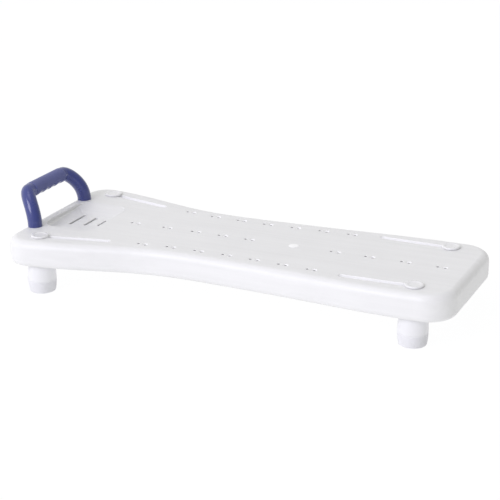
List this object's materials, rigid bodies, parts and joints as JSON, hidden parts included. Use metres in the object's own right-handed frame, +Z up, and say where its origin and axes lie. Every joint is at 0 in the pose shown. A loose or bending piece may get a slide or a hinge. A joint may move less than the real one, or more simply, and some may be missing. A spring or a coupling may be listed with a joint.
{
  "type": "bath transfer bench",
  "caption": "Waisted white moulded bath board with a soap dish, drain holes, sliding screw feet in slots and a leaning blue grab handle at one end.",
  "frame": {"origin": "on the floor under the middle of the whole bench", "axes": "+X along the length from the handle end to the plain end, +Y to the rear, +Z up"},
  "size_m": [0.724, 0.2946, 0.1468],
  "materials": {
    "deck": "satin white moulded polyethylene",
    "head": "satin white moulded plastic",
    "foot": "satin white moulded plastic",
    "foot_rubber": "soft pale rubber",
    "handle_blue": "glossy deep blue moulded plastic",
    "grip_blue": "matt slate-blue soft grip",
    "steel": "zinc-plated stainless steel",
    "brass": "turned brass"
  },
  "bodies": {
    "bench": {"deck_shell": "deck", "centre_plug": "head", "handle_frame": "handle_blue", "handle_grip": "grip_blue", "handle_inserts": "brass", "handle_washers": "steel", "handle_bolts": "steel"},
    "clamp_handle_front": {"clamp_head_handle_front": "head", "clamp_stud_handle_front": "steel", "foot_washer_handle_front": "steel"},
    "foot_handle_front": {"foot_core_handle_front": "foot", "foot_nut_handle_front": "steel", "foot_sleeve_handle_front": "foot_rubber"},
    "clamp_plain_front": {"clamp_head_plain_front": "head", "clamp_stud_plain_front": "steel", "foot_washer_plain_front": "steel"},
    "foot_plain_front": {"foot_core_plain_front": "foot", "foot_nut_plain_front": "steel", "foot_sleeve_plain_front": "foot_rubber"},
    "clamp_handle_rear": {"clamp_head_handle_rear": "head", "clamp_stud_handle_rear": "steel", "foot_washer_handle_rear": "steel"},
    "foot_handle_rear": {"foot_core_handle_rear": "foot", "foot_nut_handle_rear": "steel", "foot_sleeve_handle_rear": "foot_rubber"},
    "clamp_plain_rear": {"clamp_head_plain_rear": "head", "clamp_stud_plain_rear": "steel", "foot_washer_plain_rear": "steel"},
    "foot_plain_rear": {"foot_core_plain_rear": "foot", "foot_nut_plain_rear": "steel", "foot_sleeve_plain_rear": "foot_rubber"}
  },
  "joints": [
    {"name": "slide_handle_front", "type": "slide", "parent": "bench", "child": "clamp_handle_front", "axis": [0.9766, 0.2149, 0], "range_m": [0, 0.105]},
    {"name": "turn_handle_front", "type": "hinge", "parent": "clamp_handle_front", "child": "foot_handle_front", "pos_m": [-0.292, -0.1145, 0], "axis": [0, 0, 1], "range_deg": [-360, 0]},
    {"name": "slide_plain_front", "type": "slide", "parent": "bench", "child": "clamp_plain_front", "axis": [-0.9998, -0.0194, 0], "range_m": [0, 0.105]},
    {"name": "turn_plain_front", "type": "hinge", "parent": "clamp_plain_front", "child": "foot_plain_front", "pos_m": [0.3015, -0.086, 0], "axis": [0, 0, 1], "range_deg": [-360, 0]},
    {"name": "slide_handle_rear", "type": "slide", "parent": "bench", "child": "clamp_handle_rear", "axis": [0.9766, -0.2149, 0], "range_m": [0, 0.105]},
    {"name": "turn_handle_rear", "type": "hinge", "parent": "clamp_handle_rear", "child": "foot_handle_rear", "pos_m": [-0.292, 0.1145, 0], "axis": [0, 0, 1], "range_deg": [-360, 0]},
    {"name": "slide_plain_rear", "type": "slide", "parent": "bench", "child": "clamp_plain_rear", "axis": [-0.9998, 0.0194, 0], "range_m": [0, 0.105]},
    {"name": "turn_plain_rear", "type": "hinge", "parent": "clamp_plain_rear", "child": "foot_plain_rear", "pos_m": [0.3015, 0.086, 0], "axis": [0, 0, 1], "range_deg": [-360, 0]}
  ]
}
